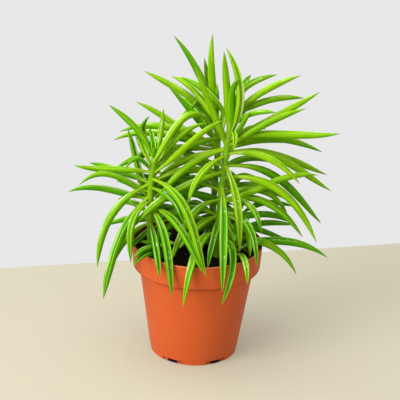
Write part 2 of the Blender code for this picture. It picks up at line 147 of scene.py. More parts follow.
# A stem's bend is the four points of its curve, from 12 mm down in the mix to its tip.
# Each leaf on its seen side is the height of its node, how far the leaf's tip lies to the right of the
# node, behind it and above it, how far the midline bows to its upper side near the stem and near the tip,
# and, for a few, how far it bows to the leaf's right.
# Each whorl on its unseen side is the height of its node, its first and last heading in degrees from the
# right round by the back, how many leaves it has, their lift in degrees and their length.
STEMS = (
    Stem(
        "leafy_stem_left",
        2.9,
        ((-36, -18, 72.5), (-37, -18, 105), (-40.5, -18, 140), (-35.5, -17, 171)),
        (
            (158, -60, -5, 5, 2, -4),
            (142, -55, -10, 7, 3, 25),
            (136, -64, -2, 4, 1, 12),
            (149, -40, -14, -67, 21, 15),
            (139, -34, -24, -80, 18, 8),
            (134, -13, -20, -44, 27, 10),
            (159, -21, -13, 4, 6, 20),
            (132, -20, 20, 55, -8, -1),
            (167, -36, 7, 42, 9, 6),
            (168, -4, 5, 34, -4, -24),
            (168, -5, 15, 21, 8, 8),
            (168, 6, 3, 41, -2, -2),
            (167, 41, 35, 43, 0, 1),
            (163, 40, 9, 34, 3, 11),
            (157, 53, -13, 50, -3, 6),
            (153, 45, -43, -63, 33, 7),
            (146, 27, -26, -21, 6, 16),
            (130, 42, -39, -37, 19, 8),
            (130, 21, -39, -58, 24, 8),
            (117, 10, -36, -31, 7, 3),
            (116, -36, 12, -71, -2, 7),
        ),
        (
            (161, 30, 110, 2, 35, 66),
            (150, 20, 130, 3, 20, 68),
            (138, 25, 100, 2, 5, 66),
            (122, 10, 120, 3, 0, 55),
        ),
        "leaf_green",
    ),
    Stem(
        "leafy_stem_right",
        3.0,
        ((16, -8, 72.5), (15.5, -8, 118), (18, -8, 165), (23, -8, 206)),
        (
            (164, 15, -26, -63, 14, 7, -1),
            (145, 3, -53, -66, 24, 11),
            (171, -28, -26, -33, 11, 13),
            (158, -70, -26, -40, 8, 12),
            (176, -52, -16, -38, 11, 10),
            (178, -55, 6, -37, 2, 12),
            (134, -38, -32, -42, 25, 8),
            (176, -27, -6, 67, 1, 0),
            (185, -6, 8, 69, 18, 18, 2),
            (184, -6, -4, 71, 5, 2),
            (188, 9, -11, 51, -2, 19),
            (200, 34, 16, 33, 19, 12),
            (204, 51, 6, 32, 5, 5),
            (201, 56, 16, 14, 9, 8),
            (192, 34, -18, 21, 9, 7),
            (183, 69, 8, 40, -2, -1),
            (178, 58, -14, 38, 1, 4),
            (182, 16, -9, 29, -3, 0),
            (185, 84, -16, 13, 7, -3),
            (182, 75, 14, -10, 11, 9),
            (184, 4, -20, -2, 16, 8, -3),
            (172, 85, 10, -31, 22, 6),
            (173, 82, 22, -23, 13, 5),
            (172, 57, -22, -14, 14, 13),
            (162, 80, 12, -50, 26, 9),
            (132, 75, -6, 28, -3, 12),
            (153, 75, -18, -45, 28, 20),
            (140, 54, 2, -21, 14, 21),
            (134, 66, -6, -27, 22, 16),
            (115, 63, 22, -10, 7, 15),
            (131, 33, -20, -17, 21, 18),
            (121, 25, -15, -32, 24, 14),
            (123, 30, -34, -31, 26, 22),
            (124, -8, -42, -31, -6, 10),
            (100, 4, -52, -33, 34, 20, -12),
            (105, -25, -56, -42, 34, 22, -2),
            (94, 89, 2, -8, 2, 17),
            (99, 64, -10, -23, 16, 22),
            (106, 56, 18, -11, 14, 2),
        ),
        (
            (196, 60, 150, 2, 50, 60),
            (183, 60, 140, 2, 30, 72),
            (163, 70, 150, 2, 15, 74),
            (142, 60, 170, 3, 5, 68),
            (120, 165, 235, 2, 0, 50),
        ),
        "leaf_green",
    ),
    Stem(
        "leafy_stem_middle",
        2.8,
        ((9, 16, 72.5), (10, 14, 110), (15, 12, 150), (12, 12, 186)),
        (
            (181, -4, -2, 43, -5, -2),
            (181, -7, -2, 82, -3, -6),
            (178, -13, 7, 63, 3, -2),
            (177, -37, -2, 83, 11, 10),
            (183, -59, 6, 46, 15, 6),
            (175, -41, -14, 48, -4, 1),
            (173, -66, 12, 28, -10, 1),
            (171, -79, 12, 5, 10, 16),
            (170, -82, 2, -1, 8, 17),
            (168, -82, -16, -20, 13, 21),
            (182, -50, -39, -14, 50, 14),
        ),
        (
            (165, 20, 130, 3, 25, 74),
            (150, 40, 200, 4, 10, 74),
            (134, 10, 190, 4, 5, 68),
            (118, 60, 210, 4, 5, 64),
            (102, 70, 240, 3, 10, 50),
            (97, 215, 320, 3, 8, 38),
        ),
        "leaf_green",
    ),
    Stem(
        "shoot_back",
        2.2,
        ((-12, 28, 72.5), (-12, 29, 90), (-13, 30, 105), (-13, 31, 122)),
        (),
        ((120, 0, 240, 3, 60, 34), (110, 40, 310, 4, 30, 48), (98, 0, 270, 4, 12, 48)),
        "leaf_green",
    ),
    Stem(
        "shoot_back_right",
        2.2,
        ((32, 18, 72.5), (32, 19, 90), (33, 20, 105), (34, 21, 120)),
        (),
        ((118, 0, 240, 3, 60, 32), (108, 0, 200, 4, 25, 50), (96, 20, 190, 3, 10, 48)),
        "leaf_green",
    ),
    Stem(
        "shoot_back_left",
        2.2,
        ((-30, 16, 72.5), (-31, 17, 92), (-33, 18, 108), (-34, 19, 126)),
        (),
        ((124, 0, 240, 3, 55, 36), (114, 60, 230, 3, 25, 50), (100, 30, 250, 4, 8, 48)),
        "leaf_green",
    ),
    Stem(
        "shoot_front_left",
        1.8,
        ((-29, -24, 72.5), (-29, -24, 84), (-29, -24, 92), (-28, -24, 99)),
        ((96, -20, -26, 3, 2, 7), (92, -20, -28, 1, 4, 6)),
        ((96, 200, 330, 3, 45, 22),),
        "young_leaf_green",
    ),
    Stem(
        "shoot_front_right",
        1.8,
        ((30, -20, 72.5), (30, -20, 85), (30, -20, 95), (30, -20, 104)),
        ((93, 8, -38, -10, 3, 6),),
        ((103, 40, 260, 3, 62, 24), (96, 0, 150, 3, 35, 30)),
        "young_leaf_green",
    ),
)


# Growth


def unit(vector):
    return vector / np.linalg.norm(vector)


def weights(u):
    """A cubic curve's share of each of its four points at u."""
    u = np.asarray(u, float)[..., None]
    return np.concatenate(((1 - u) ** 3, 3 * u * (1 - u) ** 2, 3 * u * u * (1 - u), u ** 3), -1)


def point_at(bend, height):
    """Where a stem's curve passes this height."""
    line = weights(np.linspace(0, 1, 60)) @ bend
    return np.array([np.interp(height, line[:, 2], line[:, axis]) for axis in range(3)])


def ease(low, high, value):
    t = np.clip((value - low) / (high - low), 0, 1)
    return t * t * (3 - 2 * t)


def swell(u):
    """A leaf's breadth along its length, as a share of its greatest: narrow at the stalk and at the tip."""
    stalk = 0.36 + 0.64 * ease(0.02, 0.36, u)
    past = np.clip((np.asarray(u) - 0.5) / 0.5, 0, 1)
    return stalk * (1 - past ** 2.3) ** 0.85


class Leaf:
    """A leaf's midline, as the four points of a cubic curve, with its breadth."""

    def __init__(self, stem, foot, reach, bows, seen):
        reach = np.array(reach, float)
        heading = unit(reach * (1, 1, 0) + (1e-6, 0, 0))
        bow_in, bow_out, bow_right = bows
        self.stem = stem
        self.ease = 0.2 if seen else 1.0
        self.side = np.cross(heading, UP)
        over = np.cross(self.side, unit(reach))
        sideways = self.side * bow_right
        self.bend = np.array((
            foot,
            foot + reach / 3 + over * bow_in + sideways,
            foot + reach * 2 / 3 + over * bow_out + sideways,
            foot + reach,
        ))
        self.breadth = LEAST_BREADTH + BREADTH_PER_LENGTH * np.linalg.norm(reach)

    def shift(self, u, step):
        """Moves the midline at u by step, by all its points but the first."""
        share = weights(u)[1:]
        self.bend[1:] += np.outer(share / (share @ share), step)


def sprout(index, stem, draws):
    """A stem's leaves: those of its seen side, then the whorls of its unseen side."""
    bend = np.array(stem.bend, float)
    leaves = []
    for height, right, back, up, bow_in, bow_out, *bow_right in stem.seen:
        bows = (bow_in, bow_out, sum(bow_right))
        leaves.append(Leaf(index, point_at(bend, height), (right, back, up), bows, True))
    for height, first, last, count, lift, length in stem.unseen:
        for step in range(count):
            turn = first + (last - first) * step / (count - 1) + draws.uniform(-DRAW_TURN, DRAW_TURN)
            heading = math.radians(turn)
            rise = math.radians(lift + draws.uniform(-DRAW_TURN, DRAW_TURN))
            size = length * draws.uniform(*DRAW_LENGTH)
            bow = size * draws.uniform(*DRAW_BOW)
            flat = size * math.cos(rise)
            sunk = size * math.sin(rise) - SAG * flat
            reach = (flat * math.cos(heading), flat * math.sin(heading), sunk)
            foot = point_at(bend, height + draws.uniform(-DRAW_HEIGHT, DRAW_HEIGHT))
            leaves.append(Leaf(index, foot, reach, (bow, bow * 0.8, 0), False))
    return leaves


def wall_radius(z):
    """The middle of the pot's wall at this height."""
    band_foot = POT_HEIGHT - RIM_BAND
    if z > band_foot:
        outside = np.interp(z, (band_foot, POT_HEIGHT), (BAND_FOOT_RADIUS, RIM_RADIUS))
    else:
        outside = np.interp(z, (0, band_foot), (BASE_RADIUS, BODY_RADIUS))
    return outside - WALL / 2


def part_pair(leaf, other, lines, room):
    """Bends two leaves apart where their midlines come closest, each the more the further out it is met."""
    apart = lines[0][:, None] - lines[1][None]
    distance = np.linalg.norm(apart, axis=2)
    short = room - distance
    here, there = np.unravel_index(short.argmax(), short.shape)
    if short[here, there] <= 0:
        return
    push = apart[here, there] / distance[here, there] * short[here, there]
    ease_here = leaf.ease * CONTACT_U[here] ** 2
    ease_there = other.ease * CONTACT_U[there] ** 2
    share = ease_here / (ease_here + ease_there)
    leaf.shift(CONTACT_U[here], push * share)
    other.shift(CONTACT_U[there], push * (share - 1))


def keep_off_stem(leaf, line, stem_line, room):
    """Bends a leaf clear of another stem."""
    apart = line[:, None] - stem_line[None]
    distance = np.linalg.norm(apart, axis=2)
    short = room[:, None] - distance
    here, there = np.unravel_index(short.argmax(), short.shape)
    if short[here, there] > 0:
        leaf.shift(CONTACT_U[here], apart[here, there] / distance[here, there] * short[here, there])


def keep_off_pot(leaf, line, halves):
    """Lifts a leaf off the mix and over the rim, and holds what hangs outside clear of the wall."""
    radii = np.hypot(line[:, 0], line[:, 1])
    outside = radii > RIM_RADIUS - WALL / 2
    for u, (x, y, z), radius, out, half in zip(CONTACT_U, line, radii, outside, halves):
        outward = np.array((x, y, 0)) / radius
        need = half + WALL / 2 + CLEARANCE
        if not out:
            lowest = SOIL_TOP + SOIL_CROWN + half + CLEARANCE
            if z < lowest:
                leaf.shift(u, UP * (lowest - z))
            over_band = radius - wall_radius(POT_HEIGHT) + need
            if over_band > 0 and z < POT_HEIGHT and not outside.any():
                leaf.shift(u, -outward * over_band)
        elif z < POT_HEIGHT:
            short = max(wall_radius(z), BAND_FOOT_RADIUS - WALL / 2) + need - radius
            if short > 0:
                leaf.shift(u, outward * short)
    if outside.any() and not outside[0]:
        past = int(outside.argmax())
        share = (RIM_RADIUS - WALL / 2 - radii[past - 1]) / (radii[past] - radii[past - 1])
        drop = line[past - 1][2] - line[past][2]
        steep = math.hypot(1, drop / (radii[past] - radii[past - 1]))
        height = line[past - 1][2] - share * drop
        short = POT_HEIGHT + LIP_REACH * halves[past] * min(steep, 2) + CLEARANCE - height
        if short > 0:
            leaf.shift(CONTACT_U[past - 1] + share * (CONTACT_U[past] - CONTACT_U[past - 1]), UP * short)


def settle(leaves):
    """Bends the leaves clear of each other, of the other stems and of the pot."""
    stem_lines = [weights(np.linspace(0, 1, 24)) @ np.array(stem.bend, float) for stem in STEMS]
    halves = [0.5 * leaf.breadth * swell(CONTACT_U) for leaf in leaves]
    near_stem = (CONTACT_U < 0.3)[:, None] & (CONTACT_U < 0.3)[None]
    for _ in range(PASSES):
        lines = [weights(CONTACT_U) @ leaf.bend for leaf in leaves]
        low = np.array([line.min(0) for line in lines]) - 4
        high = np.array([line.max(0) for line in lines]) + 4
        for i, leaf in enumerate(leaves):
            meets = ((low[i] < high[i + 1:]) & (low[i + 1:] < high[i])).all(1)
            for j in np.flatnonzero(meets) + i + 1:
                room = halves[i][:, None] + halves[j][None]
                if leaf.stem == leaves[j].stem:
                    room = np.where(near_stem, 0, room - CLEARANCE)
                else:
                    room = room * LIP_REACH + CLEARANCE
                part_pair(leaf, leaves[j], (lines[i], lines[j]), room)
            for k, stem in enumerate(STEMS):
                if k != leaf.stem:
                    keep_off_stem(leaf, lines[i], stem_lines[k], halves[i] + stem.radius + CLEARANCE)
            keep_off_pot(leaf, lines[i], halves[i])
    for leaf, half in zip(leaves, halves):
        keep_off_pot(leaf, weights(CONTACT_U) @ leaf.bend, half)


def grow():
    draws = random.Random(DRAW_SEED)
    leaves = []
    for index, stem in enumerate(STEMS):
        leaves += sprout(index, stem, draws)
    settle(leaves)
    return leaves


# Settings


def colour_setting(name, description, default):
    return FloatVectorProperty(
        name=name, description=description, default=default, subtype="COLOR", size=3, min=0, max=1
    )


def length_setting(name, description, default, most):
    return FloatProperty(
        name=name, description=description, default=default, min=0, max=most,
        subtype="DISTANCE", unit="LENGTH",
    )


def share_setting(name, description, default):
    return FloatProperty(name=name, description=description, default=default, min=0, max=1, subtype="FACTOR")


def count_setting(name, description, default, least, most):
    return IntProperty(name=name, description=description, default=default, min=least, max=most)


def power_setting(name, description, default):
    return FloatProperty(name=name, description=description, default=default, min=0, unit="POWER")


class PotSettings(bpy.types.PropertyGroup):
    sides: count_setting("Sides", "How many sides the turned pot has", 160, 24, 360)
    edge: length_setting("Edge rounding", "How far the rim and the foot are rounded", 0.0007, 0.002)
    plastic: colour_setting("Plastic", "The plastic's own colour", (0.62, 0.104, 0.021))
    faded: colour_setting("Faded plastic", "The paler colour of the patches and scuffs", (0.64, 0.125, 0.035))
    # The damp colour also paints shade: on the inner wall, darker further down, and in the strip under the
    # rim band
    damp: colour_setting("Damp plastic", "The colour of the inner wall near the mix", (0.2, 0.018, 0.008))
    roughness: share_setting("Roughness", "How dull the plastic is", 0.48)


class MixSettings(bpy.types.PropertyGroup):
    sides: count_setting("Sides", "How many sides the mix has", 96, 24, 240)
    lumps: length_setting("Lumps", "How far the top rises and falls", 0.0016, 0.004)
    crumbs: count_setting("Crumbs", "How many loose crumbs lie on top", 420, 0, 900)
    grains: count_setting("Grains", "How many pale grains lie on top", 70, 0, 300)
    peat: colour_setting("Peat", "The damp peat's colour", (0.009, 0.006, 0.0035))
    bark: colour_setting("Bark", "The colour of the bark crumbs", (0.055, 0.028, 0.015))
    grain: colour_setting("Pale grains", "The colour of the pale mineral grains", (0.55, 0.52, 0.46))


class LeafSettings(bpy.types.PropertyGroup):
    stations: count_setting("Stations", "How many rings a leaf has along it", 26, 8, 60)
    twist: FloatProperty(
        name="Twist", description="The most that a leaf turns about its midline",
        default=math.radians(16), min=0, max=math.pi, subtype="ANGLE", unit="ROTATION",
    )
    wave: share_setting("Wave", "How far the leaf's breadth and groove wander", 0.06)
    blade: colour_setting("Blade", "The colour of a grown leaf's sides", (0.102, 0.39, 0.001))
    fresh: colour_setting("Fresh blade", "The colour of the freshest leaves", (0.28, 0.545, 0.004))
    deep: colour_setting("Tip green", "The fuller green towards a leaf's tip", (0.065, 0.29, 0.001))
    # The groove colour also paints the shade on each leaf's lower side
    groove: colour_setting("Groove", "The darker colour inside the fold", (0.028, 0.195, 0.0005))
    lip: colour_setting("Lip", "The pale line along each lip", (0.52, 0.74, 0.05))
    # The colour of the painted highlight streak along one lip of each leaf
    highlight_streak: colour_setting("Sheen", "The pale streaks of wax along a leaf", (0.72, 0.88, 0.38))
    base: colour_setting("Base", "The yellow-green of a leaf's foot", (0.36, 0.56, 0.015))
    tip: colour_setting("Tip", "The dry colour of a leaf's point", (0.3, 0.26, 0.03))
    stalk: colour_setting("Stalk", "The colour of the stems", (0.15, 0.4, 0.003))
    roughness: share_setting("Roughness", "How dull the leaves are", 0.34)


class StageSettings(bpy.types.PropertyGroup):
    table: colour_setting("Table", "The colour of the table top", (0.375, 0.352, 0.264))
    haze: colour_setting("Table haze", "The light that softens the table's shadows", (0.262, 0.242, 0.181))
    wall: colour_setting("Wall", "The pale grey behind and around", (0.805, 0.805, 0.81))
    glow: share_setting("Wall glow", "How much light comes from all round, next to what the wall shows", 0.5)
    key: power_setting("Key light", "Power of the light at the upper left", 86)
    top: power_setting("Top light", "Power of the light overhead", 19)
    fill: power_setting("Fill light", "Power of the light at the front", 2)


class PeperomiaSettings(bpy.types.PropertyGroup):
    pot: PointerProperty(type=PotSettings)
    mix: PointerProperty(type=MixSettings)
    leaf: PointerProperty(type=LeafSettings)
    stage: PointerProperty(type=StageSettings)


# Shader maths


class Value:
    """A number socket of a material, on which plain arithmetic adds Math nodes."""

    def __init__(self, paint, socket):
        self.paint = paint
        self.socket = socket

    def maths(self, operation, *terms):
        sockets = dict(enumerate(terms))
        return self.paint.add("ShaderNodeMath", 0, {"operation": operation}, sockets)

    def __add__(self, other):
        return self.maths("ADD", self, other)

    def __radd__(self, other):
        return self.maths("ADD", other, self)

    def __sub__(self, other):
        return self.maths("SUBTRACT", self, other)

    def __rsub__(self, other):
        return self.maths("SUBTRACT", other, self)

    def __mul__(self, other):
        return self.maths("MULTIPLY", self, other)

    def __rmul__(self, other):
        return self.maths("MULTIPLY", other, self)


class Paint:
    """A material in the making: its node tree and its surface shader."""

    def __init__(self, name):
        self.material = bpy.data.materials.new(name)
        self.material.use_nodes = True
        self.tree = self.material.node_tree
        self.surface = self.tree.nodes["Principled BSDF"]

    def plug(self, socket, value):
        if isinstance(value, Value):
            self.tree.links.new(value.socket, socket)
        elif hasattr(socket.default_value, "__len__") and len(value) < len(socket.default_value):
            socket.default_value = (*value, 1)
        else:
            socket.default_value = value

    def add(self, kind, output, settings=None, sockets=None):
        """Adds a node with its settings, then the values or links of its sockets, and returns one output."""
        node = self.tree.nodes.new(kind)
        for name, value in (settings or {}).items():
            setattr(node, name, value)
        for name, value in (sockets or {}).items():
            self.plug(node.inputs[name], value)
        return Value(self, node.outputs[output])

    def finish(self, sockets):
        for name, value in sockets.items():
            self.plug(self.surface.inputs[name], value)
        return self.material

    def place(self):
        return self.add("ShaderNodeTexCoord", "Object")

    def stretched(self, vector, scale):
        return self.add("ShaderNodeMapping", "Vector", None, {"Vector": vector, "Scale": scale})

    def noise(self, vector, scale, detail=2.0, roughness=0.5):
        sockets = {"Vector": vector, "Scale": scale, "Detail": detail, "Roughness": roughness}
        return self.add("ShaderNodeTexNoise", "Fac", None, sockets)

    def dots(self, vector, scale):
        """How far away the nearest of many scattered points is."""
        return self.add("ShaderNodeTexVoronoi", "Distance", None, {"Vector": vector, "Scale": scale})

    def between(self, value, low, high):
        """0 below low and 1 above high, or the other way round, with a smooth change between them."""
        sockets = {"Value": value, "From Min": low, "From Max": high}
        return self.add("ShaderNodeMapRange", "Result", {"interpolation_type": "SMOOTHSTEP"}, sockets)

    def part_of(self, vector, axis):
        return self.add("ShaderNodeSeparateXYZ", axis, None, {"Vector": vector})

    def band(self, value, middle, half):
        """1 near the middle value, down to 0 at half the band's breadth from it."""
        return self.between(value.maths("ABSOLUTE", value - middle), half, 0.4 * half)

    def mix(self, share, first, second):
        """A colour that goes from the first to the second as the share goes from 0 to 1."""
        return self.add("ShaderNodeMix", 2, {"data_type": "RGBA"}, {0: share, 6: first, 7: second})

    def coats(self, colour, *coats):
        """The colour with each (share, colour) laid over it in turn."""
        for share, coat in coats:
            colour = self.mix(share, colour, coat)
        return colour

    def marks(self, name, *parts):
        """The named parts, Red, Green, Blue or Alpha, of a piece's own colour attribute."""
        settings = {"attribute_name": name}
        colour = self.add("ShaderNodeAttribute", "Color", settings)
        shares = []
        for part in parts:
            if part == "Alpha":
                shares.append(self.add("ShaderNodeAttribute", "Alpha", settings))
            else:
                shares.append(self.add("ShaderNodeSeparateColor", part, None, {"Color": colour}))
        return shares

    def bump(self, height, distance, strength, normal=None):
        sockets = {"Height": height, "Distance": distance, "Strength": strength}
        if normal is not None:
            sockets["Normal"] = normal
        return self.add("ShaderNodeBump", "Normal", None, sockets)


# Colours of what is small on the finishes
PORE = (0.48, 0.066, 0.01)
SPECK = (0.8, 0.42, 0.28)
# A pale line painted along the rim's top edge as a highlight
LIP_HIGHLIGHT = (0.8, 0.3, 0.16)
PEAT_FIBRE = (0.03, 0.019, 0.012)
PEAT_HOLLOW = (0.006, 0.004, 0.003)
GLINT = (0.84, 0.93, 0.68)
SCAR = (0.2, 0.14, 0.04)
OLD_STALK = (0.2, 0.2, 0.04)
# Painted shade: near black under the pot, where no light reaches
SHADE_UNDER_POT = (0.01, 0.01, 0.01)
NO_LIGHT = (0, 0, 0)


def terracotta_plastic(settings):
    """Moulded terracotta-coloured plastic: faintly mottled, finely grained, with pale specks and scuffs."""
    paint = Paint("moulded_plastic")
    place = paint.place()
    mottle = paint.noise(place, 38, 4, 0.6)
    scuff = paint.between(paint.noise(paint.stretched(place, (1, 1, 0.35)), 130, 5, 0.7), 0.6, 0.78)
    speckled = paint.between(paint.noise(place, 60), 0.5, 0.62)
    speck = paint.between(paint.dots(place, 300), 0.13, 0.07) * speckled
    pores = paint.between(paint.noise(place, 800, 3, 0.7), 0.35, 0.7)
    inside, depth, lip, band_shadow = paint.marks("pot_marks", "Red", "Green", "Blue", "Alpha")
    colour = paint.coats(
        settings.plastic,
        (paint.between(mottle, 0.35, 0.75) * 0.35, settings.faded),
        (scuff * 0.25, settings.faded),
        (pores * 0.3, PORE),
        (speck * 0.45, SPECK),
        # Painted highlight: a pale line along the rim's top edge
        (lip * 0.5, LIP_HIGHLIGHT),
        # Painted shadow in the strip under the rim band, and the inner wall painted darker further down, part
        # shade and part damp stain
        (band_shadow * 0.75, settings.damp),
        (inside * (0.55 + 0.4 * depth), settings.damp),
    )
    grain = paint.noise(place, 1900, 3, 0.6)
    ripple = paint.noise(paint.stretched(place, (1, 1, 0.2)), 60, 2)
    return paint.finish({
        "Base Color": colour,
        "Roughness": settings.roughness + 0.16 * (mottle - 0.5) + 0.12 * scuff,
        "Normal": paint.bump(grain, 0.00012, 0.4, paint.bump(ripple, 0.0006, 0.35)),
        "Specular IOR Level": 0.14,
    })


def mix_finish(settings):
    """Damp potting mix: near-black peat, brown bark crumbs and pale mineral grains."""
    paint = Paint("peat_and_bark")
    place = paint.place()
    bark, grain = paint.marks("crumb", "Red", "Green")
    fibre = paint.noise(place, 420, 5, 0.7)
    clod = paint.noise(place, 120, 3)
    colour = paint.coats(
        settings.peat,
        (paint.between(fibre, 0.4, 0.72), PEAT_FIBRE),
        (paint.between(clod, 0.62, 0.7) * 0.4, PEAT_HOLLOW),
        (bark * paint.between(fibre, 0.2, 0.6), settings.bark),
        (grain * paint.between(fibre, 0.1, 0.5), settings.grain),
    )
    return paint.finish({
        "Base Color": colour,
        "Roughness": 0.72 + 0.25 * fibre,
        "Normal": paint.bump(fibre, 0.0007, 0.8),
        "Specular IOR Level": 0.06,
    })


def leaf_finish(name, settings, youth):
    """A waxy folded leaf: pale lips, a darker groove, lengthwise streaks, a yellow foot and a dry point."""
    paint = Paint(name)
    place = paint.place()
    straight = paint.add("ShaderNodeAttribute", "Vector", {"attribute_name": "leaf_place"})
    across = paint.part_of(straight, "X")
    groove, along, tint, lip = paint.marks("leaf_marks", "Red", "Green", "Blue", "Alpha")
    streaks = paint.noise(paint.stretched(straight, (1, 0.05, 1)), 6, 3, 0.65)
    clouds = paint.noise(straight, 1.3, 3, 0.6)
    patches = paint.noise(paint.stretched(straight, (1, 0.3, 1)), 2.2, 2)
    lengths = paint.noise(paint.stretched(straight, (0.3, 0.035, 0)), 9, 1)
    dashes = paint.noise(paint.stretched(straight, (1, 0.2, 0)), 14, 2)
    veins = paint.noise(paint.stretched(straight, (1, 0.02, 1)), 16, 2)
    fresh = paint.between(tint + 0.3 * (clouds - 0.5) + youth, 0.15, 0.95)
    window = paint.between(groove + 0.4 * (streaks - 0.5) + 0.3 * (patches - 0.5), 0.25, 1)
    # Painted shade: the lower side of each leaf's section
    under = paint.between(paint.part_of(straight, "Z"), 0.08, -0.1)
    middle = paint.between(along, 0.85, 0.65) * paint.between(along, 0.1, 0.25) * (1 - under)
    # Painted highlights: a pale streak along one lip and a row of glints beside the groove
    highlight_streak = paint.band(across, 0.16, 0.055) * paint.between(lengths, 0.42, 0.6) * middle
    broken = paint.between(dashes, 0.53, 0.62) * paint.between(patches, 0.44, 0.58)
    glint = paint.band(across, -0.07, 0.045) * broken * middle
    scarred = paint.between(paint.noise(place, 33), 0.6, 0.65)
    scar = paint.between(paint.noise(place, 210, 2), 0.76, 0.79) * scarred
    colour = paint.coats(
        settings.blade,
        (fresh, settings.fresh),
        (paint.between(streaks, 0.4, 0.66) * 0.4, settings.groove),
        (window * (0.85 - 0.75 * tint), settings.groove),
        # Painted shade on the lower side, less on the fresher leaves
        (under * (0.66 - 0.5 * tint), settings.groove),
        (paint.between(along, 0.5, 0.95) * (0.5 - 0.45 * tint), settings.deep),
        (lip * 0.75, settings.lip),
        # The painted highlight streak and glints
        (highlight_streak * 0.65, settings.highlight_streak),
        (glint * 0.85, GLINT),
        (paint.between(along + 0.08 * (clouds - 0.5), 0.3, 0.03) * 0.8, settings.base),
        (paint.between(along, 0.955, 0.995) * 0.8, settings.tip),
        (scar * 0.8, SCAR),
    )
    return paint.finish({
        "Base Color": colour,
        "Roughness": settings.roughness + 0.2 * (streaks - 0.5) - 0.12 * glint,
        "Coat Weight": 0.6 * glint + 0.6 * lip + 0.5 * highlight_streak,
        "Coat Roughness": 0.14,
        "Normal": paint.bump(veins, 0.0004, 0.35),
        "Specular IOR Level": 0.05,
        "Subsurface Weight": 0.15,
        "Subsurface Radius": (0.5, 1, 0.1),
        "Subsurface Scale": 0.002,
    })


def stalk_finish(settings):
    """A fleshy stem: olive green with fine lengthwise ribs and paler, browner nodes."""
    paint = Paint("stalk_green")
    place = paint.place()
    node, age = paint.marks("leaf_marks", "Red", "Green")
    ribs = paint.noise(paint.stretched(place, (1, 1, 0.05)), 900, 2)
    clouds = paint.noise(place, 160, 3)
    colour = paint.coats(
        settings.stalk,
        (paint.between(ribs, 0.35, 0.7) * 0.2, settings.base),
        (paint.between(clouds, 0.5, 0.75) * 0.25, settings.groove),
        (node * 0.3, settings.base),
        (age * 0.3, OLD_STALK),
    )
    return paint.finish({
        "Base Color": colour,
        "Roughness": 0.42 + 0.2 * (clouds - 0.5),
        "Normal": paint.bump(ribs, 0.0004, 0.5),
        "Specular IOR Level": 0.15,
        "Subsurface Weight": 0.12,
        "Subsurface Radius": (0.6, 1, 0.2),
        "Subsurface Scale": 0.002,
    })


def table_finish(settings):
    """A smooth cream table top with a faint cloudiness and a faint glow, in painted shade under the pot."""
    paint = Paint("table_top")
    place = paint.place()
    shade = tuple(0.97 * part for part in settings.table)
    colour = paint.mix(paint.between(paint.noise(place, 5, 3), 0.3, 0.7) * 0.5, settings.table, shade)
    from_pot = paint.add("ShaderNodeVectorMath", "Value", {"operation": "LENGTH"}, {"Vector": place})
    # Under the pot the table is painted near black and has no glow, as shade
    open_air = paint.between(from_pot, (BASE_RADIUS - 2) * MM, BASE_RADIUS * MM)
    return paint.finish({
        "Base Color": paint.mix(open_air, SHADE_UNDER_POT, colour),
        "Roughness": 0.62,
        "Specular IOR Level": 0.3,
        "Emission Color": paint.mix(open_air, NO_LIGHT, settings.haze),
        "Emission Strength": 1.0,
    })


# Modelling


def deselect():
    bpy.ops.object.select_all(action="DESELECT")


def choose(obj, *others):
    """Selects these pieces and no others, with the first as the active one."""
    deselect()
    for piece in (obj, *others):
        piece.select_set(True)
    bpy.context.view_layer.objects.active = obj


def start_edit():
    """Enters edit mode with all the points of the active piece selected."""
    bpy.ops.object.mode_set(mode="EDIT")
    bpy.ops.mesh.select_mode(type="VERT")
    bpy.ops.mesh.select_all(action="SELECT")


def face_out():
    """Turns all the faces of the piece that is being edited outwards."""
    bpy.ops.mesh.select_all(action="SELECT")
    bpy.ops.mesh.normals_make_consistent(inside=False)


def pick(obj, test):
    """In edit mode, selects the points that pass the test and what lies between them, and nothing else."""
    mesh = bmesh.from_edit_mesh(obj.data)
    mesh.select_mode = {"VERT"}
    for vert in mesh.verts:
        vert.select = bool(test(vert.co))
    mesh.select_flush_mode()
    bmesh.update_edit_mesh(obj.data)


def start_ring(name, sides, radius, height, turn=(0, 0, 0)):
    """Adds a circle and leaves it in edit mode with all its points selected."""
    deselect()
    bpy.ops.mesh.primitive_circle_add(vertices=sides, radius=radius, location=(0, 0, height), rotation=turn)
    obj = bpy.context.object
    obj.name = name
    obj.data.name = name
    bpy.ops.object.transform_apply(location=True, rotation=True, scale=True)
    start_edit()
    return obj


def extrude(step):
    bpy.ops.mesh.extrude_region_move(TRANSFORM_OT_translate={"value": tuple(step)})


def end_edit(obj, smooth_degrees):
    """Closes the mesh's faces outwards, leaves edit mode and smooths what isn't sharper than this."""
    bpy.ops.mesh.select_all(action="SELECT")
    bpy.ops.mesh.remove_doubles(threshold=1e-7)
    face_out()
    bpy.ops.object.mode_set(mode="OBJECT")
    choose(obj)
    bpy.ops.object.shade_smooth_by_angle(angle=math.radians(smooth_degrees))


def turned(name, profile, sides):
    """A turned solid: a ring extruded along (radius, height) points in mm, its two ends closed flat."""
    radius, height = profile[0]
    obj = start_ring(name, sides, radius * MM, height * MM)
    for (near, low), (far, high) in zip(profile, profile[1:]):
        extrude((0, 0, (high - low) * MM))
        bpy.ops.transform.resize(value=(far / near, far / near, 1), center_override=(0, 0, high * MM))
    for end_radius, end_height in (profile[0], profile[-1]):
        pick(obj, lambda co: at_ring(co, end_radius * MM, end_height * MM))
        bpy.ops.mesh.edge_face_add()
    return obj


def at_ring(co, radius, height):
    return abs(co.z - height) < NEAR and abs(math.hypot(co.x, co.y) - radius) < NEAR


